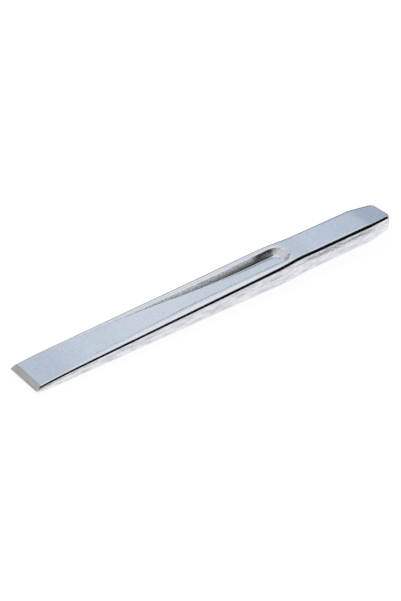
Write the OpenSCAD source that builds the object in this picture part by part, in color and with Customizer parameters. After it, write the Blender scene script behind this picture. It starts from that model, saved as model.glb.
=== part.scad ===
// Flat cold chisel of the ribbed kind, one drop-forged bar of tool steel.
//
// A wedge-shaped blade carries a long recess in each wide face. The recess leaves a thin web between
// two rails, runs out into the blade towards the cutting edge and ends round towards the head. Each
// rail has a narrow flat along the recess and falls away from it to the rounded long edge. Behind the
// recess the bar draws in at a neck, goes on as a plain shank and tapers on four sides to the striking
// face. The narrow sides carry the band that trimming the flash leaves.
//
// The bar is drawn along X from its cutting edge, with its mid-plane at Z = 0, as one skin over
// cross-sections. It is then laid on a bench, where it rests on the underside of its wedge.

/* [Overall] */
// Length from the cutting edge to the striking face
overall_length = 250; // [225:1:300]

/* [Blade] */
// Width across the blade
blade_width = 24; // [22.4:0.2:28]
// Length of the wedge, from the cutting edge to its root
blade_length = 174; // [158:1:192]
// Thickness of the bar at the cutting edge with no bevels ground
edge_thickness = 3.9; // [3.4:0.1:5]
// How much further than the wedge each wide face draws in at the cutting edge
tip_thinning = 0.75; // [0.4:0.05:1]
// Length over which the wide faces draw in towards the cutting edge
tip_length = 26; // [16:1:30]
// Thickness of the wedge at its root
root_thickness = 13.3; // [12:0.1:15]
// Angle between the two ground bevels
bevel_angle = 63; // [50:1:75]
// Thickness left at the cutting edge itself
edge_land = 0.2; // [0.1:0.05:0.4]

/* [Shank and neck] */
// Width across the shank
shank_width = 21.4; // [19:0.2:23.4]
// Thickness of the shank
shank_thickness = 12.6; // [11:0.2:15]
// Length over which the wedge's root eases to the shank's thickness
shoulder_length = 16; // [8:1:24]
// Length of the neck, where the width draws in from blade to shank
neck_length = 26; // [16:1:36]
// How far before the end of the wedge the neck starts
neck_lead = 13; // [8:1:20]

/* [Head] */
// Length of the tapered head
head_length = 17; // [10:1:26]
// Width of the striking face before its corners are rounded
face_width = 17; // [13:0.2:19]
// Thickness of the striking face before its edges are rounded
face_thickness = 10; // [8:0.2:11]
// Rounding of the striking face's corners, seen on the wide face
face_corner_radius = 2.8; // [1.5:0.1:4]
// Rounding of the striking face's long edges
face_edge_radius = 1.2; // [0.6:0.1:2]

/* [Recess] */
// Distance from the cutting edge to the faint start of the recess
recess_start = 34; // [31:1:42]
// Depth of the recess along its faint start
lead_depth = 0.12; // [0.06:0.01:0.2]
// Distance from the cutting edge to where the floor leaves the blade's face
runout = 76; // [68:1:84]
// Distance from the cutting edge to the narrowest gap between the rails
waist = 120; // [108:1:130]
// Gap between the rails at the faint start
start_gap = 17.8; // [16:0.2:18.2]
// Gap between the rails at its narrowest
waist_gap = 14.8; // [12.6:0.2:16]
// Gap between the rails at the round end
end_gap = 16.4; // [14.6:0.2:16.8]
// Thickness of the web between the two recesses
web_thickness = 5; // [3:0.1:6]
// Length of the level web before the end of the wedge
web_length = 27; // [16:1:36]
// How far past the end of the wedge the recess reaches
recess_overrun = 4.2; // [1:0.2:8]
// Draft of the recess's long sides beside the web, from square
flank_draft = 26; // [15:1:36]
// Draft that the long sides open out to where the recess is shallow
shallow_draft = 58; // [40:1:60]
// Draft of the recess's round end, from square
end_draft = 43; // [30:1:50]
// Rounding of the rails' inner edges
rail_radius = 2.3; // [1:0.1:2.8]
// Rounding along the foot of the recess's walls
foot_radius = 0.7; // [0.5:0.1:1.4]

/* [Rails] */
// Width of the flat that runs along each rail beside the recess
rail_land = 0.8; // [0.4:0.1:1.4]
// Slope at which each rail falls from its flat to the long edge, in degrees
rail_fall = 8; // [2:1:10]
// Distance from the cutting edge over which that slope and the flash band grow
fall_start = 36; // [20:1:50]

/* [Forging] */
// Rounding of the four long edges near the cutting edge, measured down the narrow sides
tip_edge_radius = 1.25; // [0.9:0.05:1.4]
// Rounding of the four long edges on the shank, measured down the narrow sides
shank_edge_radius = 1.7; // [1:0.1:1.9]
// How much wider those roundings are across the wide faces
edge_spread = 1.4; // [1:0.1:1.5]
// Draft of the narrow sides, from square
side_draft = 4; // [1:0.5:5]
// Height of the band that trimming the flash leaves on each narrow side
flash_band = 2.4; // [1.5:0.1:3]
// How far that band stands proud
flash_step = 0.15; // [0.05:0.01:0.2]

/* [Hidden] */

steel_colour = [0.76, 0.79, 0.83];

// The wedge rises by this much on each side for each millimetre along the blade.
wedge_slope = (root_thickness - edge_thickness - 2 * tip_thinning) / 2 / blade_length;
wedge_half_angle = atan(wedge_slope);

neck_start = blade_length - neck_lead;
neck_end = neck_start + neck_length;
head_start = overall_length - head_length;
web_start = blade_length - web_length;

// Bends in the recess's floor and sides, and where the wide faces meet the head's, are eased over these
// lengths to each side.
start_fade = 10;
runout_ease = 22;
web_ease = 9;
waist_ease = 18;
head_ease = 4;

// Points along each rounding, and stations along each curved stretch of the bar.
rail_steps = 4;
foot_steps = 3;
edge_steps = 5;
ease_steps = 4;
tip_steps = 5;
shoulder_steps = 5;
neck_steps = 6;
end_steps = 10;
face_steps = 4;
min_station_gap = 0.12;

// The sections never let their lines run together nearer the middle than this half-width.
least_gap_half = 1.5;
// Widths of the flanks are worked out for at least this depth, so that a faint flank keeps its width.
least_flank_depth = 0.05;

function clamp(v, low, high) = min(high, max(low, v));
function smooth(u) = let (k = clamp(u, 0, 1)) k * k * (3 - 2 * k);
// Zero before a bend and a straight rise after it, with a parabola of half-length ease between them.
function bend(u, ease) = u <= -ease ? 0 : u >= ease ? u : (u + ease) ^ 2 / (4 * ease);

// Each wide face falls by this much for each millimetre along the head.
head_fall = (shank_thickness - face_thickness) / 2 / head_length;

// Outline of the bar: half its thickness and half its width at x, before the striking face is rounded.
function bar_half_thickness(x) =
    x > blade_length
        ? (root_thickness + (shank_thickness - root_thickness) * smooth((x - blade_length) / shoulder_length)) / 2
            - head_fall * bend(x - head_start, head_ease)
    : edge_thickness / 2 + tip_thinning + wedge_slope * x - tip_thinning * clamp(1 - x / tip_length, 0, 1) ^ 2;
function bar_half_width(x) =
    x > head_start
        ? (shank_width + (face_width - shank_width) * (x - head_start) / head_length) / 2
        : (blade_width + (shank_width - blade_width) * smooth((x - neck_start) / neck_length)) / 2;

// How far a rounding of radius r has drawn the outline in at x, near the striking face.
function drawn_in(x, r) =
    let (u = clamp(x - (overall_length - r), 0, r)) r - sqrt(r * r - u * u);
function half_thickness(x) = bar_half_thickness(x) - drawn_in(x, face_edge_radius);
function half_width(x) = bar_half_width(x) - drawn_in(x, face_corner_radius);

// Floor of the recess: level along the web, then a ramp that runs out into the blade's face.
ramp_slope =
    (bar_half_thickness(runout) - lead_depth - web_thickness / 2) / (web_start - runout);
function floor_height(x) =
    web_thickness / 2 + ramp_slope * bend(web_start - x, web_ease)
        - (ramp_slope + wedge_slope) * bend(runout - x, runout_ease);
function recess_depth(x) =
    (bar_half_thickness(x) - floor_height(x)) * smooth((x - recess_start) / start_fade);

// The rails keep at least this width beside the recess, so its gaps give way on a narrower bar.
least_rail = shank_edge_radius * edge_spread + flash_step + 0.55;
start_gap_half = min(start_gap / 2, blade_width / 2 - least_rail);
waist_gap_half = min(waist_gap / 2, blade_width / 2 - least_rail);
end_radius = min(end_gap / 2, bar_half_width(blade_length) - least_rail);
end_centre = blade_length + recess_overrun - end_radius;
recess_end = end_centre + end_radius;
end_depth = recess_depth(end_centre);

// The long sides of the recess lie flatter where it is shallow.
function side_wall(depth) =
    shallow_draft + (flank_draft - shallow_draft) * clamp(depth / end_depth, 0, 1) ^ 2;

// A flank of the recess rolls off the rail, falls at its draft and rolls out onto the floor.
roll = rail_radius + foot_radius;
function turn(depth, draft) = acos(max(sin(draft), 1 - depth / roll));
function straight_fall(depth, draft) = max(0, depth - roll * (1 - sin(draft)));
function flank_run(depth, draft) =
    roll * sin(turn(depth, draft)) + straight_fall(depth, draft) * tan(draft);
// Drop below the rail at a distance in from the rail's edge.
function flank_drop(inset, depth, draft) =
    let (
        angle = turn(depth, draft),
        run = flank_run(depth, draft),
        from_foot = run - inset
    )
    inset <= 0 ? 0
    : from_foot <= 0 ? depth
    : inset < rail_radius * sin(angle) ? rail_radius - sqrt(rail_radius ^ 2 - inset ^ 2)
    : from_foot < foot_radius * sin(angle) ? depth - foot_radius + sqrt(foot_radius ^ 2 - from_foot ^ 2)
    : rail_radius * (1 - cos(angle)) + (inset - rail_radius * sin(angle)) * tan(angle);

// The round end lies between a circle on the rails' level and a smaller one on the floor.
floor_end_radius = end_radius - flank_run(end_depth, flank_draft);
floor_end_centre =
    blade_length + recess_overrun - flank_run(end_depth, end_draft) - floor_end_radius;

// Half the gap between the rails: it narrows to the waist and widens again to the round end.
narrowing = (waist_gap_half - start_gap_half) / (waist - recess_start);
widening = (end_radius - waist_gap_half) / (end_centre - waist);
function straight_gap_half(x) =
    start_gap_half + narrowing * (x - recess_start)
        + (widening - narrowing) * bend(x - waist, waist_ease);
function gap_half(x) =
    x <= end_centre ? straight_gap_half(x)
    : x >= recess_end ? 0
    : sqrt(end_radius ^ 2 - (x - end_centre) ^ 2);

// Share of the way from the rail's circle to the floor's circle at a point in the round end.
function end_share(x, y) =
    let (
        shift = end_centre - floor_end_centre,
        shrink = end_radius - floor_end_radius,
        a = shift ^ 2 - shrink ^ 2,
        b = 2 * (shift * (x - end_centre) + shrink * end_radius),
        c = (x - end_centre) ^ 2 + y * y - end_radius ^ 2,
        root = b * b - 4 * a * c
    )
    c >= 0 ? 0 : root <= 0 ? 1 : min(1, -2 * c / (b + sqrt(root)));

// Drop of the recess below the wide face at (x, y).
function recess_drop(x, y) =
    let (
        depth = recess_depth(x),
        width = max(depth, least_flank_depth),
        inset = straight_gap_half(x) - abs(y),
        draft = side_wall(width),
        reach = clamp(inset / flank_run(width, draft), 0, 1)
    )
    x <= recess_start || x >= recess_end ? 0
    : x <= end_centre + (floor_end_centre - end_centre) * reach
        ? flank_drop(inset, width, draft) * depth / width
        : let (
            share = end_share(x, y),
            centre = end_centre + (floor_end_centre - end_centre) * share,
            radius = end_radius + (floor_end_radius - end_radius) * share,
            turned = clamp((x - centre) / radius, 0, 1) ^ 2,
            side_draft_here = side_wall(depth),
            side = flank_drop(share * flank_run(depth, side_draft_here), depth, side_draft_here),
            end = flank_drop(share * flank_run(depth, end_draft), depth, end_draft)
        )
        side + (end - side) * turned;

// Places across the recess, from its middle to the rail's edge.
function flank_places(x) =
    let (
        depth = max(recess_depth(x), least_flank_depth),
        angle = turn(depth, side_wall(depth)),
        run = flank_run(depth, side_wall(depth)),
        edge = straight_gap_half(x)
    )
    concat(
        [0, (edge - run) / 2],
        [for (i = [0:foot_steps - 1]) edge - run + foot_radius * sin(angle * i / foot_steps)],
        [for (i = [rail_steps:-1:0]) edge - rail_radius * sin(angle * i / rail_steps)]
    );
// In the round end the same lines draw together, each at its share of the gap that is left.
function recess_places(x) =
    x <= floor_end_centre ? flank_places(x)
    : let (
        places = flank_places(floor_end_centre),
        edge = straight_gap_half(floor_end_centre)
    )
    [for (p = places) p / edge * max(gap_half(x), least_gap_half)];

// A quarter of the section at x, from the middle of the wide face to the flash band. The rounding of
// the long edge is a piece of an ellipse that leaves the rail at its fall and meets the side at its draft.
function quarter(x) =
    let (
        t = half_thickness(x),
        w = half_width(x),
        fall = tip_edge_radius + (shank_edge_radius - tip_edge_radius) * smooth(x / neck_start),
        spread = fall * edge_spread,
        slope = tan(rail_fall) * smooth(x / fall_start) * smooth((neck_end - x) / neck_length),
        first = atan(slope * edge_spread),
        last = 90 - atan(tan(side_draft) / edge_spread),
        band = min(flash_band / 2, (t - fall) * 0.7),
        step = flash_step * (0.3 + 0.7 * smooth(x / fall_start)),
        places = recess_places(x),
        corner = w - step - tan(side_draft) * (t - fall - band) - spread * (sin(last) - sin(first)),
        rail_edge = places[len(places) - 1],
        landed = max(rail_edge + 0.05, min(straight_gap_half(x) + rail_land, corner - 0.15)),
        top = t - slope * (corner - landed)
    )
    concat(
        [for (y = places) [y, t - recess_drop(x, y)]],
        [[landed, t]],
        [
            for (i = [0:edge_steps])
                let (a = first + (last - first) * i / edge_steps)
                [corner + spread * (sin(a) - sin(first)), top - fall * (cos(first) - cos(a))]
        ],
        [[w - step, band], [w, band - step]]
    );

// The whole section at x, once round.
function section(x) =
    let (q = quarter(x), n = len(q))
    concat(
        [for (i = [0:n - 1]) [x, q[i][0], q[i][1]]],
        [for (i = [n - 1:-1:0]) [x, q[i][0], -q[i][1]]],
        [for (i = [1:n - 1]) [x, -q[i][0], -q[i][1]]],
        [for (i = [n - 1:-1:1]) [x, -q[i][0], q[i][1]]]
    );

// Stations along the bar: wherever its outline or its recess starts, bends or ends.
function spread(from, to, steps) = [for (i = [0:steps]) from + (to - from) * i / steps];
function eased(at, ease) = spread(at - ease, at + ease, ease_steps);
function sorted(v) =
    len(v) <= 1 ? v
    : let (
        pivot = v[floor(len(v) / 2)],
        below = [for (a = v) if (a < pivot) a],
        level = [for (a = v) if (a == pivot) a],
        above = [for (a = v) if (a > pivot) a]
    )
    concat(sorted(below), level, sorted(above));
function thinned(v) =
    [for (i = [0:len(v) - 1]) if (i == 0 || i == len(v) - 1 || v[i] - v[i - 1] > min_station_gap) v[i]];

stations = thinned(sorted(concat(
    [blade_length, head_start, fall_start],
    eased(head_start, head_ease),
    spread(0, tip_length, tip_steps),
    spread(blade_length, blade_length + shoulder_length, shoulder_steps),
    spread(recess_start, recess_start + start_fade, ease_steps),
    eased(runout, runout_ease),
    eased(waist, waist_ease),
    eased(web_start, web_ease),
    spread(neck_start, neck_end, neck_steps),
    [
        for (i = [0:end_steps])
            floor_end_centre + (recess_end - floor_end_centre) * sin(90 * i / end_steps)
    ],
    [
        for (i = [0:face_steps])
            overall_length - face_corner_radius * (1 - sin(90 * i / face_steps))
    ],
    [overall_length - face_edge_radius]
)));

// Skin over a row of rings with the same number of points each. A fan about the middle of each end
// ring closes it with a flat face.
module skin(rings) {
    n = len(rings[0]);
    last = (len(rings) - 1) * n;
    tip = len(rings) * n;
    head = tip + 1;
    middles = [for (ring = [rings[0], rings[len(rings) - 1]]) [ring[0][0], 0, 0]];
    faces = [
        for (i = [0:n - 1])
            let (j = (i + 1) % n)
            each [
                [tip, i, j],
                [head, last + j, last + i],
                for (k = [0:n:last - n]) each [[k + i, k + i + n, k + j], [k + j, k + i + n, k + j + n]]
            ]
    ];
    polyhedron(points = concat([for (ring = rings) each ring], middles), faces = faces, convexity = 6);
}

// One of the two planes ground at the cutting edge: what lies above it is cut away.
module bevel_cut() {
    reach = 30;
    margin = 5;
    translate([0, 0, edge_land / 2])
        rotate([0, -bevel_angle / 2, 0])
            translate([-margin, -blade_width / 2 - margin, 0])
                cube([reach, blade_width + 2 * margin, reach]);
}

// Turns the bar so that the underside of its wedge lies on Z = 0, with its length centred on X = 0.
module laid_down() {
    translate([-overall_length * cos(wedge_half_angle) / 2, 0, 0])
        rotate([0, -wedge_half_angle, 0])
            translate([0, 0, edge_thickness / 2 + tip_thinning])
                children();
}

module flat_chisel() {
    color(steel_colour)
        laid_down()
            difference() {
                skin([for (x = stations) section(x)]);
                bevel_cut();
                mirror([0, 0, 1]) bevel_cut();
            }
}

flat_chisel();
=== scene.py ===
import math

import bmesh
import bpy
import numpy as np
from mathutils import Matrix, Vector


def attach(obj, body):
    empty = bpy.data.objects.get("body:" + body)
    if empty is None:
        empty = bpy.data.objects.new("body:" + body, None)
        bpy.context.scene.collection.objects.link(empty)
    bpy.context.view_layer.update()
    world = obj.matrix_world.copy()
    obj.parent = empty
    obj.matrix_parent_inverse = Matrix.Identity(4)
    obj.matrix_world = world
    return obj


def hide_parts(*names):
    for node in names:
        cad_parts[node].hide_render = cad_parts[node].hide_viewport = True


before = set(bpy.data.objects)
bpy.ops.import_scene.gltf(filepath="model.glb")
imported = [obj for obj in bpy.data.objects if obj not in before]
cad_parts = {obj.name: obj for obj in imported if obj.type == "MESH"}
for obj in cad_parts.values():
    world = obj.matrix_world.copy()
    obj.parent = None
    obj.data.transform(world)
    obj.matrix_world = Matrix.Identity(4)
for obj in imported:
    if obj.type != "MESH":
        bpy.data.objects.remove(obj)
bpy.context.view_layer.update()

# The forging
# The whole chisel is one bar of tool steel, drop forged between two dies, trimmed of its flash, chrome
# plated, and ground bare at its edge last. It is drawn in millimetres along X from the cutting edge,
# with its mid-plane at Z = 0, as one skin over cross-sections, and then laid on the bench.
overall_length = 250
blade_width = 24
blade_length = 174
edge_thickness = 3.9  # before the bevels are ground
tip_thinning = 0.75  # of each wide face, over the tip's length
tip_length = 26
root_thickness = 13.3  # at the end of the blade
bevel_angle = math.radians(63)  # between the two bevels
edge_land = 0.2  # left between them at the cutting edge
shank_width = 21.4
shank_thickness = 12.6
neck_length = 26  # over which the width goes from the blade's to the shank's
neck_lead = 13  # how far before the blade's end it starts to
shoulder_length = 16  # over which the thickness does, from the blade's end
head_length = 17  # over which the bar tapers to the striking face
face_width = 17
face_thickness = 10
face_corner_radius = 2.8
face_edge_radius = 1.2

# The recess starts as a shallow lead-in, ramps down to a level floor and ends in a round end, between
# rails that draw in to a waist.
recess_start = 34
runout = 76  # where the ramp of its floor meets the shallow lead-in
lead_depth = 0.12  # of that lead-in
waist = 120
start_gap = 17.8
waist_gap = 14.8
end_gap = 16.4
web_thickness = 5.0
web_length = 27  # of the level floor up to the blade's end
recess_overrun = 4.2  # past the blade's end
flank_draft = math.radians(26)  # of the long walls where the recess is deep, from square
shallow_draft = math.radians(58)  # and where it is shallow
end_draft = math.radians(43)  # and of the round end
rail_radius = 2.3  # of the roll from a rail onto a wall
foot_radius = 0.7  # of the roll from a wall onto the floor

# The rails have a narrow land along the recess and then fall to the rounded long edges. The clearances
# keep the land between the recess and the rounding where the bar is narrow.
rail_land = 0.8
rail_fall = math.radians(8)
fall_start = 36  # where the fall has grown to that
recess_clearance = 0.05
rounding_clearance = 0.15
tip_edge_radius = 1.25
shank_edge_radius = 1.7
edge_spread = 1.4  # the rounding's reach in from the side, to its height
side_draft = math.radians(4)

# The flash is trimmed to a band along the narrow sides, which stands less proud near the tip. Its edges
# are sharp along the middle of the blade, and worn soft towards the tip and along the shank.
flash_band = 2.4
flash_band_limit = 0.7  # its largest share of the narrow side
flash_band_flat = 0.1  # its share along the parting line that is always at full height
flash_step = 0.15
tip_step_share = 0.3
soft_until = 20
sharp_from = 80
sharp_until = 150
soft_from = 190
worn_reach = 0.9  # the share of the side beside it that the softest blend takes

# Bends in the recess's floor and sides are eased over these lengths to each side.
start_fade = 10
runout_ease = 22
web_ease = 9
waist_ease = 18
head_ease = 4

# How finely the skin is drawn along the bar, in millimetres and in steps round a curve.
station_pitch = 1.0
least_pitch = 0.04
end_steps = 28
face_steps = 12

# How many steps a section has, from the middle of the wide face round to the mid-plane. Its columns
# run on where there is no recess, placed as if it were at least this wide and deep.
floor_steps = 6
foot_steps = 8
wall_steps = 3
rail_steps = 12
land_steps = 6
edge_steps = 14
side_steps = 4
trim_steps = 8
least_gap_half = 1.2
least_flank_depth = 0.05

wedge_slope = (root_thickness - edge_thickness - 2 * tip_thinning) / 2 / blade_length
wedge_half_angle = math.atan(wedge_slope)
neck_start = blade_length - neck_lead
head_start = overall_length - head_length
web_start = blade_length - web_length


def smooth(u):
    k = np.clip(u, 0, 1)
    return k * k * (3 - 2 * k)


def bend(u, ease):
    """Zero before a bend and a straight rise after it, with a parabola between them."""
    return np.where(u <= -ease, 0, np.where(u >= ease, u, (u + ease) ** 2 / (4 * ease)))


def bar_half_thickness(x):
    thinned = tip_thinning * np.clip(1 - x / tip_length, 0, 1) ** 2
    wedge = edge_thickness / 2 + tip_thinning + wedge_slope * x - thinned
    past_root = smooth((x - blade_length) / shoulder_length)
    shoulder = (root_thickness + (shank_thickness - root_thickness) * past_root) / 2
    head_fall = (shank_thickness - face_thickness) / 2 / head_length
    return np.where(x > blade_length, shoulder, wedge) - head_fall * bend(x - head_start, head_ease)


def bar_half_width(x):
    along_neck = smooth((x - neck_start) / neck_length)
    bar = (blade_width + (shank_width - blade_width) * along_neck) / 2
    head = (shank_width + (face_width - shank_width) * (x - head_start) / head_length) / 2
    return np.where(x > head_start, head, bar)


def drawn_in(x, radius):
    """How far the rounding of the striking face has drawn the outline in at x."""
    u = np.clip(x - (overall_length - radius), 0, radius)
    return radius - np.sqrt(radius * radius - u * u)


ramp_slope = (bar_half_thickness(runout) - lead_depth - web_thickness / 2) / (web_start - runout)


def floor_height(x):
    """Floor of the recess: level along the web, then a ramp that runs out into the blade's face."""
    ramp = web_thickness / 2 + ramp_slope * bend(web_start - x, web_ease)
    return ramp - (ramp_slope + wedge_slope) * bend(runout - x, runout_ease)


def recess_depth(x):
    return (bar_half_thickness(x) - floor_height(x)) * smooth((x - recess_start) / start_fade)


# A wall of the recess rolls off the rail, falls at its draft and rolls out onto the floor.
roll = rail_radius + foot_radius


def turn(depth, draft):
    return np.arccos(np.maximum(np.sin(draft), 1 - depth / roll))


def wall_run(depth, draft):
    straight = np.maximum(0, depth - roll * (1 - np.sin(draft)))
    return roll * np.sin(turn(depth, draft)) + straight * np.tan(draft)


def wall_drop(inset, depth, draft):
    """Drop below the rail at a distance in from the rail's edge."""
    angle = turn(depth, draft)
    from_foot = wall_run(depth, draft) - inset
    on_rail = rail_radius - np.sqrt(np.maximum(0, rail_radius**2 - inset**2))
    on_foot = depth - foot_radius + np.sqrt(np.maximum(0, foot_radius**2 - from_foot**2))
    falling = rail_radius * (1 - np.cos(angle)) + (inset - rail_radius * np.sin(angle)) * np.tan(angle)
    drop = np.where(from_foot < foot_radius * np.sin(angle), on_foot, falling)
    drop = np.where(inset < rail_radius * np.sin(angle), on_rail, drop)
    return np.where(inset <= 0, 0, np.where(from_foot <= 0, depth, drop))


# The round end lies between a circle on the rails' level and a smaller one on the floor.
end_radius = end_gap / 2
end_centre = blade_length + recess_overrun - end_radius
recess_end = end_centre + end_radius
end_depth = recess_depth(end_centre)


def side_wall(depth):
    """The draft of the recess's sides: they lie flatter where the recess is shallow."""
    return shallow_draft + (flank_draft - shallow_draft) * np.clip(depth / end_depth, 0, 1) ** 2


floor_end_radius = end_radius - wall_run(end_depth, flank_draft)
floor_end_centre = blade_length + recess_overrun - wall_run(end_depth, end_draft) - floor_end_radius

narrowing = (waist_gap - start_gap) / 2 / (waist - recess_start)
widening = (end_gap - waist_gap) / 2 / (end_centre - waist)


def straight_gap_half(x):
    """Half the gap between the rails: it narrows to the waist and widens again to the round end."""
    narrowed = start_gap / 2 + narrowing * (x - recess_start)
    return narrowed + (widening - narrowing) * bend(x - waist, waist_ease)


def end_share(x, y):
    """Share of the way from the rail's circle to the floor's circle at a point in the round end."""
    shift = end_centre - floor_end_centre
    shrink = end_radius - floor_end_radius
    a = shift**2 - shrink**2
    b = 2 * (shift * (x - end_centre) + shrink * end_radius)
    c = (x - end_centre) ** 2 + y * y - end_radius**2
    root = b * b - 4 * a * c
    share = np.minimum(1, -2 * c / (b + np.sqrt(np.maximum(0, root))))
    return np.where(c >= 0, 0, np.where(root <= 0, 1, share))


def recess_drop(x, y):
    """Drop of the recess below the wide face at (x, y)."""
    depth = recess_depth(x)
    width = np.maximum(depth, least_flank_depth)
    inset = straight_gap_half(x) - np.abs(y)
    reach = np.clip(inset / wall_run(width, side_wall(width)), 0, 1)
    straight = wall_drop(inset, width, side_wall(width)) * depth / width
    share = end_share(x, y)
    centre = end_centre + (floor_end_centre - end_centre) * share
    radius = end_radius + (floor_end_radius - end_radius) * share
    turned = np.clip((x - centre) / radius, 0, 1) ** 2
    side = wall_drop(share * wall_run(depth, side_wall(depth)), depth, side_wall(depth))
    end = wall_drop(share * wall_run(depth, end_draft), depth, end_draft)
    in_straight = x <= end_centre + (floor_end_centre - end_centre) * reach
    drop = np.where(in_straight, straight, side + (end - side) * turned)
    return np.where((x <= recess_start) | (x >= recess_end), 0, drop)


def recess_places(x):
    """Places across the recess, from its middle to the rail's edge, one row for each station."""
    within = np.minimum(x, floor_end_centre)
    depth = np.maximum(recess_depth(within), least_flank_depth)
    angle = turn(depth, side_wall(depth))
    run = wall_run(depth, side_wall(depth))
    edge = straight_gap_half(within)
    floor = (edge - run) * np.linspace(0, 1, floor_steps + 1)[:-1]
    foot = edge - run + foot_radius * np.sin(angle * np.linspace(0, 1, foot_steps + 1)[:-1])
    on_foot = edge - run + foot_radius * np.sin(angle)
    on_rail = edge - rail_radius * np.sin(angle)
    wall = on_foot + (on_rail - on_foot) * np.linspace(0, 1, wall_steps + 1)[:-1]
    rail = edge - rail_radius * np.sin(angle * np.linspace(1, 0, rail_steps + 1))
    places = np.concatenate([floor, foot, wall, rail], axis=1)
    past = np.clip(x - end_centre, 0, end_radius)
    gap = np.where(x <= end_centre, straight_gap_half(x), np.sqrt(end_radius**2 - past**2))
    gap = np.where(x >= recess_end, 0, gap)
    narrowed = np.maximum(gap, least_gap_half) / straight_gap_half(floor_end_centre)
    return np.where(x <= floor_end_centre, places, places * narrowed)


def quarters(x):
    """A quarter of the section at each station, from the middle of the wide face to the mid-plane."""
    t = bar_half_thickness(x) - drawn_in(x, face_edge_radius)
    w = bar_half_width(x) - drawn_in(x, face_corner_radius)
    fall = tip_edge_radius + (shank_edge_radius - tip_edge_radius) * smooth(x / neck_start)
    spread = fall * edge_spread
    from_tip = smooth(x / fall_start)
    to_shank = smooth((neck_start + neck_length - x) / neck_length)
    slope = math.tan(rail_fall) * from_tip * to_shank
    first = np.arctan(slope * edge_spread)
    last = math.pi / 2 - math.atan(math.tan(side_draft) / edge_spread)

    # The rail's land and fall end at the corner. From there the long edge is rounded down to the brink.
    band = np.minimum(flash_band / 2, (t - fall) * flash_band_limit)
    step = flash_step * (tip_step_share + (1 - tip_step_share) * from_tip)
    brink = w - step - math.tan(side_draft) * (t - fall - band)
    corner = brink - spread * (math.sin(last) - np.sin(first))
    recess = recess_places(x)
    landed = np.minimum(straight_gap_half(x) + rail_land, corner - rounding_clearance)
    landed = np.maximum(recess[:, -1:] + recess_clearance, landed)
    top = t - slope * (corner - landed)
    across = np.linspace(0, 1, land_steps + 1)[:-1]
    angle = first + (last - first) * np.linspace(0, 1, edge_steps + 1)
    edge_y = corner + spread * (np.sin(angle) - np.sin(first))
    edge_z = top - fall * (np.cos(first) - np.cos(angle))

    # The side falls at its draft to the flash band, and steps out onto it more softly where it is worn.
    tangent = top - fall * (np.cos(first) - math.cos(last))
    tip_wear = 1 - smooth((x - soft_until) / (sharp_from - soft_until))
    shank_wear = smooth((x - sharp_until) / (soft_from - sharp_until))
    trim_top = band + (tangent - band) * worn_reach * np.maximum(tip_wear, shank_wear)
    rise = step + math.tan(side_draft) * (trim_top - band)
    down = np.linspace(0, 1, side_steps + 1)[1:]
    trim = np.linspace(0, 1, trim_steps + 1)[1:]
    y = [
        recess,
        landed + (corner - landed) * across,
        edge_y,
        brink + (w - rise - brink) * down,
        w - rise * (1 - smooth(trim)),
        w,
        w,
    ]
    z = [
        t - recess_drop(x, recess),
        t + (top - t) * across,
        edge_z,
        tangent + (trim_top - tangent) * down,
        trim_top + (band * flash_band_flat - trim_top) * trim,
        band * flash_band_flat / 2,
        np.zeros_like(band),
    ]
    return np.concatenate(y, axis=1), np.concatenate(z, axis=1)


def ring(quarter, across, down):
    """A whole section from its quarter. across and down are the signs on the mirrored sides."""
    below = down * quarter[:, -2::-1]
    opposite = across * down * quarter[:, 1:]
    beside = across * quarter[:, -2:0:-1]
    return np.concatenate([quarter, below, opposite, beside], axis=1)


# Stations lie closer together in the recess's round end and in the rounding of the striking face.
round_end = np.sin(np.linspace(0, math.pi / 2, end_steps + 1))
round_face = np.sin(np.linspace(0, math.pi / 2, face_steps + 1))
spans = np.concatenate(
    [
        np.arange(0, overall_length, station_pitch),
        [blade_length, head_start, overall_length, neck_start, neck_start + neck_length],
        floor_end_centre + (recess_end - floor_end_centre) * round_end,
        overall_length - face_corner_radius * (1 - round_face),
    ]
)
spans = np.unique(np.round(spans, 4))
stations = spans[np.append(np.diff(spans) > least_pitch, True)][:, None]

quarter_y, quarter_z = quarters(stations)
full_depth = np.maximum(recess_depth(stations), least_flank_depth)
quarter_share = np.clip(recess_drop(stations, quarter_y) / full_depth, 0, 1)
ring_y = ring(quarter_y, -1, 1)
ring_z = ring(quarter_z, 1, -1)
ring_share = ring(quarter_share, 1, 1)
columns = ring(np.arange(quarter_y.shape[1])[None], 1, 1)[0]
ring_size = len(columns)
last_ring = (len(stations) - 1) * ring_size
points = np.stack([np.repeat(stations, ring_size, axis=1), ring_y, ring_z], axis=2).reshape(-1, 3)
tip = len(points)
head = tip + 1
points = np.concatenate([points, [[0, 0, 0], [overall_length, 0, 0]]])

# Columns of a section between which the skin is a wall of the recess, and from which it is a side.
wall_from = floor_steps + foot_steps // 2
wall_to = floor_steps + foot_steps + wall_steps + rail_steps // 2
side_from = floor_steps + foot_steps + wall_steps + rail_steps + 1 + land_steps + edge_steps
faces = []
wall_faces = []
side_faces = []
for i in range(ring_size):
    j = (i + 1) % ring_size
    faces.append((tip, j, i))
    faces.append((head, last_ring + i, last_ring + j))
    column = min(columns[i], columns[j])
    for k in range(0, last_ring, ring_size):
        if wall_from <= column < wall_to and recess_start < stations[k // ring_size, 0] < recess_end:
            wall_faces.append(len(faces))
        if column >= side_from:
            side_faces.append(len(faces))
        faces.append((k + i, k + j, k + ring_size + j, k + ring_size + i))

forging = bpy.data.objects.new("forged_chisel", bpy.data.meshes.new("forged_chisel"))
bpy.context.scene.collection.objects.link(forging)
forging.data.from_pydata(points.tolist(), [], faces)

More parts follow.
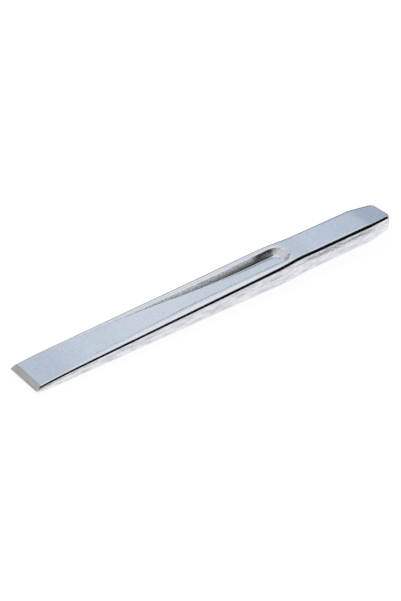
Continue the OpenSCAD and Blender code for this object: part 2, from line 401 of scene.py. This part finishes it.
# Where a point lies along the bar and how deep in the recess it is, from 0 at the rail to 1 at the foot.
place_and_depth = np.stack([points[:, 0] / overall_length, np.append(ring_share.ravel(), [0, 0])], axis=1)
corners = np.zeros(len(forging.data.loops), dtype=int)
forging.data.loops.foreach_get("vertex_index", corners)
forging.data.uv_layers.new(name="place and depth").data.foreach_set("uv", place_and_depth[corners].ravel())

# Places in the list of finishes that the chisel gets below, where 0 is the plating.
bevel_finish = 1
wall_finish = 2
side_finish = 3
sharp_edge_angle = math.radians(24)

# The two bevels are ground last, through the plating, and meet at the cutting edge.
shape = bmesh.new()
shape.from_mesh(forging.data)
shape.faces.ensure_lookup_table()
for k in wall_faces:
    shape.faces[k].material_index = wall_finish
for k in side_faces:
    shape.faces[k].material_index = side_finish
bmesh.ops.recalc_face_normals(shape, faces=shape.faces)
for side in (1, -1):
    bmesh.ops.bisect_plane(
        shape,
        geom=shape.verts[:] + shape.edges[:] + shape.faces[:],
        plane_co=(0, 0, side * edge_land / 2),
        plane_no=(-math.sin(bevel_angle / 2), 0, side * math.cos(bevel_angle / 2)),
        clear_outer=True,
    )
    rim = [e for e in shape.edges if e.is_boundary]
    bmesh.ops.edgeloop_fill(shape, edges=rim, mat_nr=bevel_finish)
bmesh.ops.recalc_face_normals(shape, faces=shape.faces)

# The chisel lies on the underside of its wedge, with the middle of its length over the origin.
laid_down = (
    Matrix.Translation((-overall_length * math.cos(wedge_half_angle) / 2, 0, 0))
    @ Matrix.Rotation(-wedge_half_angle, 4, "Y")
    @ Matrix.Translation((0, 0, edge_thickness / 2 + tip_thinning))
)
millimetres = Matrix.Scale(0.001, 4)
bmesh.ops.transform(shape, matrix=millimetres @ laid_down, verts=shape.verts)
shape.to_mesh(forging.data)
shape.free()
forging.data.shade_smooth()
forging.data.set_sharp_from_angle(angle=sharp_edge_angle)
flat_shading = forging.modifiers.new("flats stay flat", "WEIGHTED_NORMAL")
flat_shading.keep_sharp = True


def linear(hex_colour):
    """A colour written as sRGB hex, as linear RGBA."""
    parts = [int(hex_colour[i : i + 2], 16) / 255 for i in (0, 2, 4)]
    return tuple(c / 12.92 if c <= 0.04045 else ((c + 0.055) / 1.055) ** 2.4 for c in parts) + (1,)


def node(tree, kind, links=(), stops=(), **settings):
    """Adds a node. links says what feeds each input, stops are the places and colours along a ramp,
    and any other setting is an input's value or a property."""
    made = tree.nodes.new(kind)
    for name, value in settings.items():
        if hasattr(made, name):
            setattr(made, name, value)
        else:
            made.inputs[name.replace("_", " ")].default_value = value
    for name, source in dict(links).items():
        tree.links.new(source, made.inputs[name])
    for position, colour in stops[1:-1]:
        made.color_ramp.elements.new(position)
    for i, (position, colour) in enumerate(stops):
        made.color_ramp.elements[i].position = position
        made.color_ramp.elements[i].color = linear(colour)
    return made


def new_material(name):
    made = bpy.data.materials.new(name)
    made.use_nodes = True
    made.node_tree.nodes.clear()
    return made


# Satin chrome plate on the wide faces, the shank and the head: a bright metal, tumbled before plating.
# It has an orange peel of 2 mm (500 to the metre), and the forged face's unevenness under it, 4 mm
# across (260) and drawn out to 15 mm along the bar. The satin's own grain of some 0.1 mm is too fine
# to show, and is drawn as a faint cloudiness of 1.6 mm (620).
plating = new_material("satin chrome plate")
tree = plating.node_tree
place = node(tree, "ShaderNodeTexCoord")
peel = node(
    tree,
    "ShaderNodeTexNoise",
    {"Vector": place.outputs["Object"]},
    Scale=500.0,
    Detail=3.0,
    Roughness=0.6,
)
drawn_out = node(tree, "ShaderNodeMapping", {"Vector": place.outputs["Object"]}, Scale=(0.25, 1, 1))
unevenness = node(
    tree,
    "ShaderNodeTexNoise",
    {"Vector": drawn_out.outputs["Vector"]},
    Scale=260.0,
    Detail=2.0,
    Roughness=0.5,
)
peel_bump = node(tree, "ShaderNodeBump", {"Height": peel.outputs["Fac"]}, Strength=0.25, Distance=0.0002)
bump = node(
    tree,
    "ShaderNodeBump",
    {"Height": unevenness.outputs["Fac"], "Normal": peel_bump.outputs["Normal"]},
    Strength=0.1,
    Distance=0.0008,
)
cloud = node(
    tree,
    "ShaderNodeTexNoise",
    {"Vector": place.outputs["Object"]},
    Scale=620.0,
    Detail=2.0,
    Roughness=0.6,
)
tone = node(
    tree, "ShaderNodeValToRGB", {"Fac": cloud.outputs["Fac"]}, [(0.3, "DDE1E5"), (0.7, "E7EBEF")]
)
shader = node(
    tree,
    "ShaderNodeBsdfPrincipled",
    {"Normal": bump.outputs["Normal"], "Base Color": tone.outputs["Color"]},
    Metallic=1.0,
    Roughness=0.14,
)
node(tree, "ShaderNodeOutputMaterial", {"Surface": shader.outputs["BSDF"]})

# Chrome plate over the dies' rough skin, on the walls of the recess. Tumbling wears the upper part of a
# wall matt and bright. It doesn't reach the foot or the straight deep end, which stay smoother. The
# colour is darkened towards the foot as painted shade, most in the straight deep end. The skin's pits of
# some 0.4 mm are too fine to show, and are drawn 1.1 mm wide (900 to the metre). Places along the bar
# are in millimetres from the cutting edge.
worn_until = 155.5
unworn_from = 160.5
rough_until = 125
smoother_from = 162.5
# Painted shade: the grey that the foot of a wall is darkened to, at places along the bar.
painted_shade_along_the_foot = [
    (112.5, "FFFFFF"),
    (137.5, "D6D6D6"),
    (152.5, "B4B4B4"),
    (160, "9C9C9C"),
    (167.5, "9C9C9C"),
    (171.5, "FFFFFF"),
]
skin = new_material("chrome plate over die skin with painted shade")
tree = skin.node_tree
place = node(tree, "ShaderNodeTexCoord")
pits = node(
    tree,
    "ShaderNodeTexNoise",
    {"Vector": place.outputs["Object"]},
    Scale=900.0,
    Detail=3.0,
    Roughness=0.7,
)
split = node(tree, "ShaderNodeSeparateXYZ", {"Vector": place.outputs["UV"]})
along = split.outputs["X"]
depth = split.outputs["Y"]
tumbled = node(
    tree,
    "ShaderNodeMapRange",
    {"Value": along},
    From_Min=worn_until / overall_length,
    From_Max=unworn_from / overall_length,
    To_Min=1.0,
    To_Max=0.0,
)
grain = node(tree, "ShaderNodeMapRange", {"Value": pits.outputs["Fac"]}, To_Min=-0.25, To_Max=0.25)
ragged = node(tree, "ShaderNodeMath", {0: grain.outputs["Result"], 1: depth}, operation="ADD")
wear = node(
    tree,
    "ShaderNodeMapRange",
    {"Value": ragged.outputs[0], "To Min": tumbled.outputs["Result"]},
    From_Min=0.1,
    From_Max=0.95,
    To_Max=0.0,
)
metal_share = node(
    tree, "ShaderNodeMapRange", {"Value": wear.outputs["Result"]}, To_Min=1.0, To_Max=0.35
)
mattness = node(tree, "ShaderNodeMapRange", {"Value": wear.outputs["Result"]}, To_Min=0.3, To_Max=0.6)
tone = node(
    tree, "ShaderNodeValToRGB", {"Fac": pits.outputs["Fac"]}, [(0.35, "A6A9AD"), (0.6, "E6E8EB")]
)
painted_foot_shade = node(
    tree,
    "ShaderNodeValToRGB",
    {"Fac": along},
    [(x / overall_length, colour) for x, colour in painted_shade_along_the_foot],
)
# The colour darkens from part way down a wall to its foot, towards those greys, as painted shade.
painted_shade_by_depth = node(
    tree,
    "ShaderNodeMapRange",
    {"Value": depth, "To Max": painted_foot_shade.outputs["Color"]},
    From_Min=0.3,
    From_Max=0.9,
    To_Min=1.0,
)
tone_with_painted_shade = node(
    tree,
    "ShaderNodeHueSaturation",
    {"Color": tone.outputs["Color"], "Value": painted_shade_by_depth.outputs["Result"]},
)
fading = node(
    tree,
    "ShaderNodeMapRange",
    {"Value": along},
    From_Min=rough_until / overall_length,
    From_Max=smoother_from / overall_length,
    To_Min=0.8,
    To_Max=0.2,
)
bump = node(
    tree,
    "ShaderNodeBump",
    {"Height": pits.outputs["Fac"], "Strength": fading.outputs["Result"]},
    Distance=0.0007,
)
shader = node(
    tree,
    "ShaderNodeBsdfPrincipled",
    {
        "Normal": bump.outputs["Normal"],
        "Base Color": tone_with_painted_shade.outputs["Color"],
        "Roughness": mattness.outputs["Result"],
        "Metallic": metal_share.outputs["Result"],
    },
)
node(tree, "ShaderNodeOutputMaterial", {"Surface": shader.outputs["BSDF"]})

# Chrome plate over the trimmed narrow sides, which aren't polished, so that it is cloudy and duller.
# The clouds are 2 mm high (480 to the metre) and smeared to 7 mm along the bar by the trimming.
cloudy = new_material("chrome plate over trimmed sides")
tree = cloudy.node_tree
place = node(tree, "ShaderNodeTexCoord")
smeared = node(tree, "ShaderNodeMapping", {"Vector": place.outputs["Object"]}, Scale=(0.3, 1, 1))
cloud = node(
    tree,
    "ShaderNodeTexNoise",
    {"Vector": smeared.outputs["Vector"]},
    Scale=480.0,
    Detail=4.0,
    Roughness=0.65,
)
tone = node(
    tree, "ShaderNodeValToRGB", {"Fac": cloud.outputs["Fac"]}, [(0.35, "CACCD3"), (0.62, "EAEBEF")]
)
bump = node(tree, "ShaderNodeBump", {"Height": cloud.outputs["Fac"]}, Strength=0.35, Distance=0.0003)
shader = node(
    tree,
    "ShaderNodeBsdfPrincipled",
    {"Normal": bump.outputs["Normal"], "Base Color": tone.outputs["Color"]},
    Metallic=1.0,
    Roughness=0.22,
)
node(tree, "ShaderNodeOutputMaterial", {"Surface": shader.outputs["BSDF"]})

# Bare tool steel fresh off the wheel, on the two bevels: grey, with the wheel's scratches along the
# cutting edge. Scratches 0.1 mm apart are too fine to show, and are drawn 0.4 mm apart (2600 to the
# metre) and 13 mm long.
ground = new_material("ground tool steel")
tree = ground.node_tree
place = node(tree, "ShaderNodeTexCoord")
stretched = node(tree, "ShaderNodeMapping", {"Vector": place.outputs["Object"]}, Scale=(1, 0.03, 1))
scratches = node(
    tree, "ShaderNodeTexNoise", {"Vector": stretched.outputs["Vector"]}, Scale=2600.0, Detail=3.0
)
tone = node(
    tree, "ShaderNodeValToRGB", {"Fac": scratches.outputs["Fac"]}, [(0.3, "A4A9AC"), (0.7, "D3D5D5")]
)
bump = node(
    tree, "ShaderNodeBump", {"Height": scratches.outputs["Fac"]}, Strength=0.5, Distance=0.0002
)
shader = node(
    tree,
    "ShaderNodeBsdfPrincipled",
    {"Normal": bump.outputs["Normal"], "Base Color": tone.outputs["Color"]},
    Metallic=1.0,
    Roughness=0.36,
)
node(tree, "ShaderNodeOutputMaterial", {"Surface": shader.outputs["BSDF"]})

for finish in (plating, ground, skin, cloudy):
    forging.data.materials.append(finish)
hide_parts("flat_chisel")
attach(forging, "root")

# The camera
# It looks down along the blade from the left of the cutting edge, as the photograph was taken. Its
# place is given in the forging's own millimetres, from the middle of the cutting edge.
camera_azimuth = math.radians(-38.480)
camera_elevation = math.radians(35.343)
camera_distance = 867.2
camera_target = Vector((114.590, -0.419, -0.593))
camera_lens = 95.434
sensor_width = 36
nearest_seen = 0.05
farthest_seen = 50

toward_camera = Vector(
    (
        math.sin(camera_azimuth) * math.cos(camera_elevation),
        -math.cos(camera_azimuth) * math.cos(camera_elevation),
        math.sin(camera_elevation),
    )
)
turned = toward_camera.to_track_quat("Z", "Y").to_matrix().to_4x4()
stand = Matrix.Translation(camera_target + toward_camera * camera_distance) @ turned
camera = bpy.data.objects.new("camera", bpy.data.cameras.new("camera"))
bpy.context.scene.collection.objects.link(camera)
camera.matrix_world = (millimetres @ laid_down @ stand) @ Matrix.Scale(1000, 4)
camera.data.lens = camera_lens
camera.data.sensor_width = sensor_width
camera.data.clip_start = nearest_seen
camera.data.clip_end = farthest_seen
bpy.context.scene.camera = camera

# The studio
# The chisel lies on a white sweep in even white light. What its bright metal mirrors hangs and lies
# around it, in metres, and only reflections see it: pale, cool, dim and grey cards behind it, a black
# flag and a black cloth in front, pale grey cards by the edge, and grey cloths behind it on the floor.
world_light = linear("F7F7F8")
white = linear("FFFFFF")


def seen(tree):
    """One where the camera, a reflection or a refraction looks, and zero for the light itself."""
    path = node(tree, "ShaderNodeLightPath")
    mirrored = node(
        tree,
        "ShaderNodeMath",
        {0: path.outputs["Is Glossy Ray"], 1: path.outputs["Is Transmission Ray"]},
        operation="MAXIMUM",
    )
    either = node(
        tree,
        "ShaderNodeMath",
        {0: path.outputs["Is Camera Ray"], 1: mirrored.outputs[0]},
        operation="MAXIMUM",
    )
    return either.outputs[0]


world = bpy.data.worlds.new("studio")
bpy.context.scene.world = world
world.use_nodes = True
tree = world.node_tree
tree.nodes.clear()
lit = node(tree, "ShaderNodeBackground", Color=world_light, Strength=0.9)
shown = node(tree, "ShaderNodeBackground", Color=white, Strength=1.0)
mixed = node(
    tree,
    "ShaderNodeMixShader",
    {0: seen(tree), 1: lit.outputs["Background"], 2: shown.outputs["Background"]},
)
node(tree, "ShaderNodeOutputWorld", {"Surface": mixed.outputs["Shader"]})


def flat_card(name, centre, facing, width, height):
    """A rectangle in metres that faces a point."""
    card = bpy.data.objects.new(name, bpy.data.meshes.new(name))
    bpy.context.scene.collection.objects.link(card)
    signs = [(-1, -1), (1, -1), (1, 1), (-1, 1)]
    card.data.from_pydata([(i * width / 2, j * height / 2, 0) for i, j in signs], [], [(0, 1, 2, 3)])
    look = (Vector(facing) - Vector(centre)).to_track_quat("Z", "Y").to_matrix().to_4x4()
    card.data.transform(Matrix.Translation(centre) @ look)
    return card


# The sweep glows a little where it is looked at, so that it stays white around the chisel's shadow.
floor_size = 8
floor = flat_card("floor", (0, 0, 0), (0, 0, 1), floor_size, floor_size)
sweep = new_material("white sweep")
tree = sweep.node_tree
paper = node(tree, "ShaderNodeBsdfDiffuse", Color=linear("818181"))
glow = node(tree, "ShaderNodeEmission", Color=white, Strength=0.84)
both = node(tree, "ShaderNodeAddShader", {0: paper.outputs["BSDF"], 1: glow.outputs["Emission"]})
plain = node(tree, "ShaderNodeBsdfDiffuse", Color=linear("E7E7E7"))
mixed = node(
    tree, "ShaderNodeMixShader", {0: seen(tree), 1: plain.outputs["BSDF"], 2: both.outputs["Shader"]}
)
node(tree, "ShaderNodeOutputMaterial", {"Surface": mixed.outputs["Shader"]})
floor.data.materials.append(sweep)


def glowing(name, stops, low_end=0, high_end=1, axis="X"):
    """The light of a card or cloth, shaded along an axis between two places on it, in metres."""
    made = new_material(name)
    tree = made.node_tree
    place = node(tree, "ShaderNodeTexCoord")
    split = node(tree, "ShaderNodeSeparateXYZ", {"Vector": place.outputs["Object"]})
    along = node(
        tree, "ShaderNodeMapRange", {"Value": split.outputs[axis]}, From_Min=low_end, From_Max=high_end
    )
    ramp = node(tree, "ShaderNodeValToRGB", {"Fac": along.outputs["Result"]}, stops)
    light = node(tree, "ShaderNodeEmission", {"Color": ramp.outputs["Color"]}, Strength=1.0)
    node(tree, "ShaderNodeOutputMaterial", {"Surface": light.outputs["Emission"]})
    return made


def reflected_only(card, material):
    card.data.materials.append(material)
    card.visible_camera = False
    card.visible_diffuse = False
    card.visible_shadow = False


def hung(name, direction, distance, width, height, material):
    """A card hung in a direction from the chisel and turned to face it."""
    middle = Vector((0, 0, 0.01))
    card = flat_card(name, middle + Vector(direction).normalized() * distance, middle, width, height)
    reflected_only(card, material)


# The wide faces mirror the pale panel, which gives them their blue-grey, and the near rail, which
# leans towards the camera, mirrors the cool ceiling over it.
pale = glowing(
    "pale blue-grey panel",
    [
        (0.0, "CAD2E1"),
        (0.12, "D7DFEB"),
        (0.22, "DEE6F0"),
        (0.45, "E2E9F1"),
        (0.62, "D6DFEC"),
        (0.72, "D2DCE8"),
        (0.85, "C6D0DE"),
        (1.0, "AEB8CB"),
    ],
    0.38,
    0.95,
)
hung("pale_panel", (0.50, 0.64, 0.62), 1.3, 2.2, 0.44, pale)
cool = glowing(
    "cool white ceiling",
    [(0.0, "CAD4E2"), (0.35, "CED7E5"), (0.65, "F8FAFF"), (1.0, "FBFCFF")],
    0.44,
    0.56,
)
hung("cool_ceiling_behind", (0.40, 0.46, 0.80), 1.5, 4.0, 1.1, cool)

# The recess's far wall mirrors the flag, which makes it dark in the deep end. The near long edge
# mirrors the flag and the black cloth under it, which is the black line.
flag = glowing(
    "black flag with a soft top",
    [(0.0, "050507"), (0.45, "2E3034"), (0.75, "888C92"), (1.0, "D8DCE2")],
    0.6,
    1.0,
    "Z",
)
hung("black_flag", (0.50, -0.80, 0.62), 0.8, 1.6, 1.3, flag)

# Lower down behind the chisel, the far rail mirrors the dim wall and the rounded far edge the grey one.
dim = glowing(
    "dim neutral wall",
    [(0.0, "F4F2F2"), (0.267, "B4BED0"), (0.75, "B6C0D2"), (0.87, "484C54"), (1.0, "34373D")],
    0.86,
    1.46,
)
hung("dim_wall_behind", (0.50, 0.78, 0.42), 1.6, 5.0, 0.5, dim)
grey = glowing("grey wall", [(0.0, "666A72"), (1.0, "1C1E22")], 1.05, 1.3)
hung("grey_wall_behind", (0.50, 0.84, 0.12), 1.7, 5.0, 0.62, grey)

# The bevel and the recess's round end mirror these three.
beige = glowing("grey wall at the edge's end", [(0.0, "DEDCDA"), (1.0, "D6D6D6")], -1, 0)
hung("grey_wall_at_the_edge_end", (-0.66, 0.42, 0.52), 1.2, 2.2, 1.3, beige)
hung("grey_card_over_the_edge_end", (-0.62, -0.50, 0.58), 1.1, 0.9, 0.9, beige)
hung("grey_card_beside_the_flag", (-0.49, -0.80, 0.36), 0.7, 1.26, 0.9, beige)


def cloth(name, outline, material):
    """A cloth that lies just over the floor, given by its outline."""
    height = 0.0005
    made = bpy.data.objects.new(name, bpy.data.meshes.new(name))
    bpy.context.scene.collection.objects.link(made)
    made.data.from_pydata([(x, y, height) for x, y in outline], [], [tuple(range(len(outline)))])
    reflected_only(made, material)


# The black cloth goes on from the flag towards the chisel. Its border sets how broad the black line is.
near_border = [
    (1.2, -0.08),
    (0.14, -0.029),
    (0.12, -0.0306),
    (0.10, -0.0295),
    (0.085, -0.0281),
    (0.072, -0.0286),
    (0.055, -0.033),
    (0.03, -0.036),
    (-0.025, -0.033),
    (-0.06, -0.026),
    (-0.085, -0.0228),
    (-0.105, -0.0196),
    (-0.115, -0.0177),
    (-0.122, -0.0161),
    (-0.14, -0.0140),
]
black = glowing("black cloth", [(0.0, "050507"), (1.0, "050507")])
cloth("black_cloth", [(-0.14, -1.0), (1.2, -1.0)] + near_border, black)

# The grey cloths draw the thin lines along the far edge and, darker, along the end of the head.
past_head = 0.1265
head_cloth = [(past_head, -0.006), (0.3, -0.006), (0.3, 0.085), (past_head, 0.085)]
far_border = [(-0.14, 0.018), (past_head, 0.027), (past_head, 0.085), (0.3, 0.085), (0.3, -0.006)]
mid_grey = glowing("grey cloth", [(0.0, "8C9094"), (1.0, "8C9094")])
cloth("grey_cloth", far_border + [(1.2, -0.006), (1.2, 1.0), (-0.14, 1.0)], mid_grey)
dark_grey = glowing("dark grey cloth", [(0.0, "303236"), (1.0, "303236")])
cloth("dark_cloth_by_the_head", head_cloth, dark_grey)

bpy.context.scene.view_settings.view_transform = "Standard"
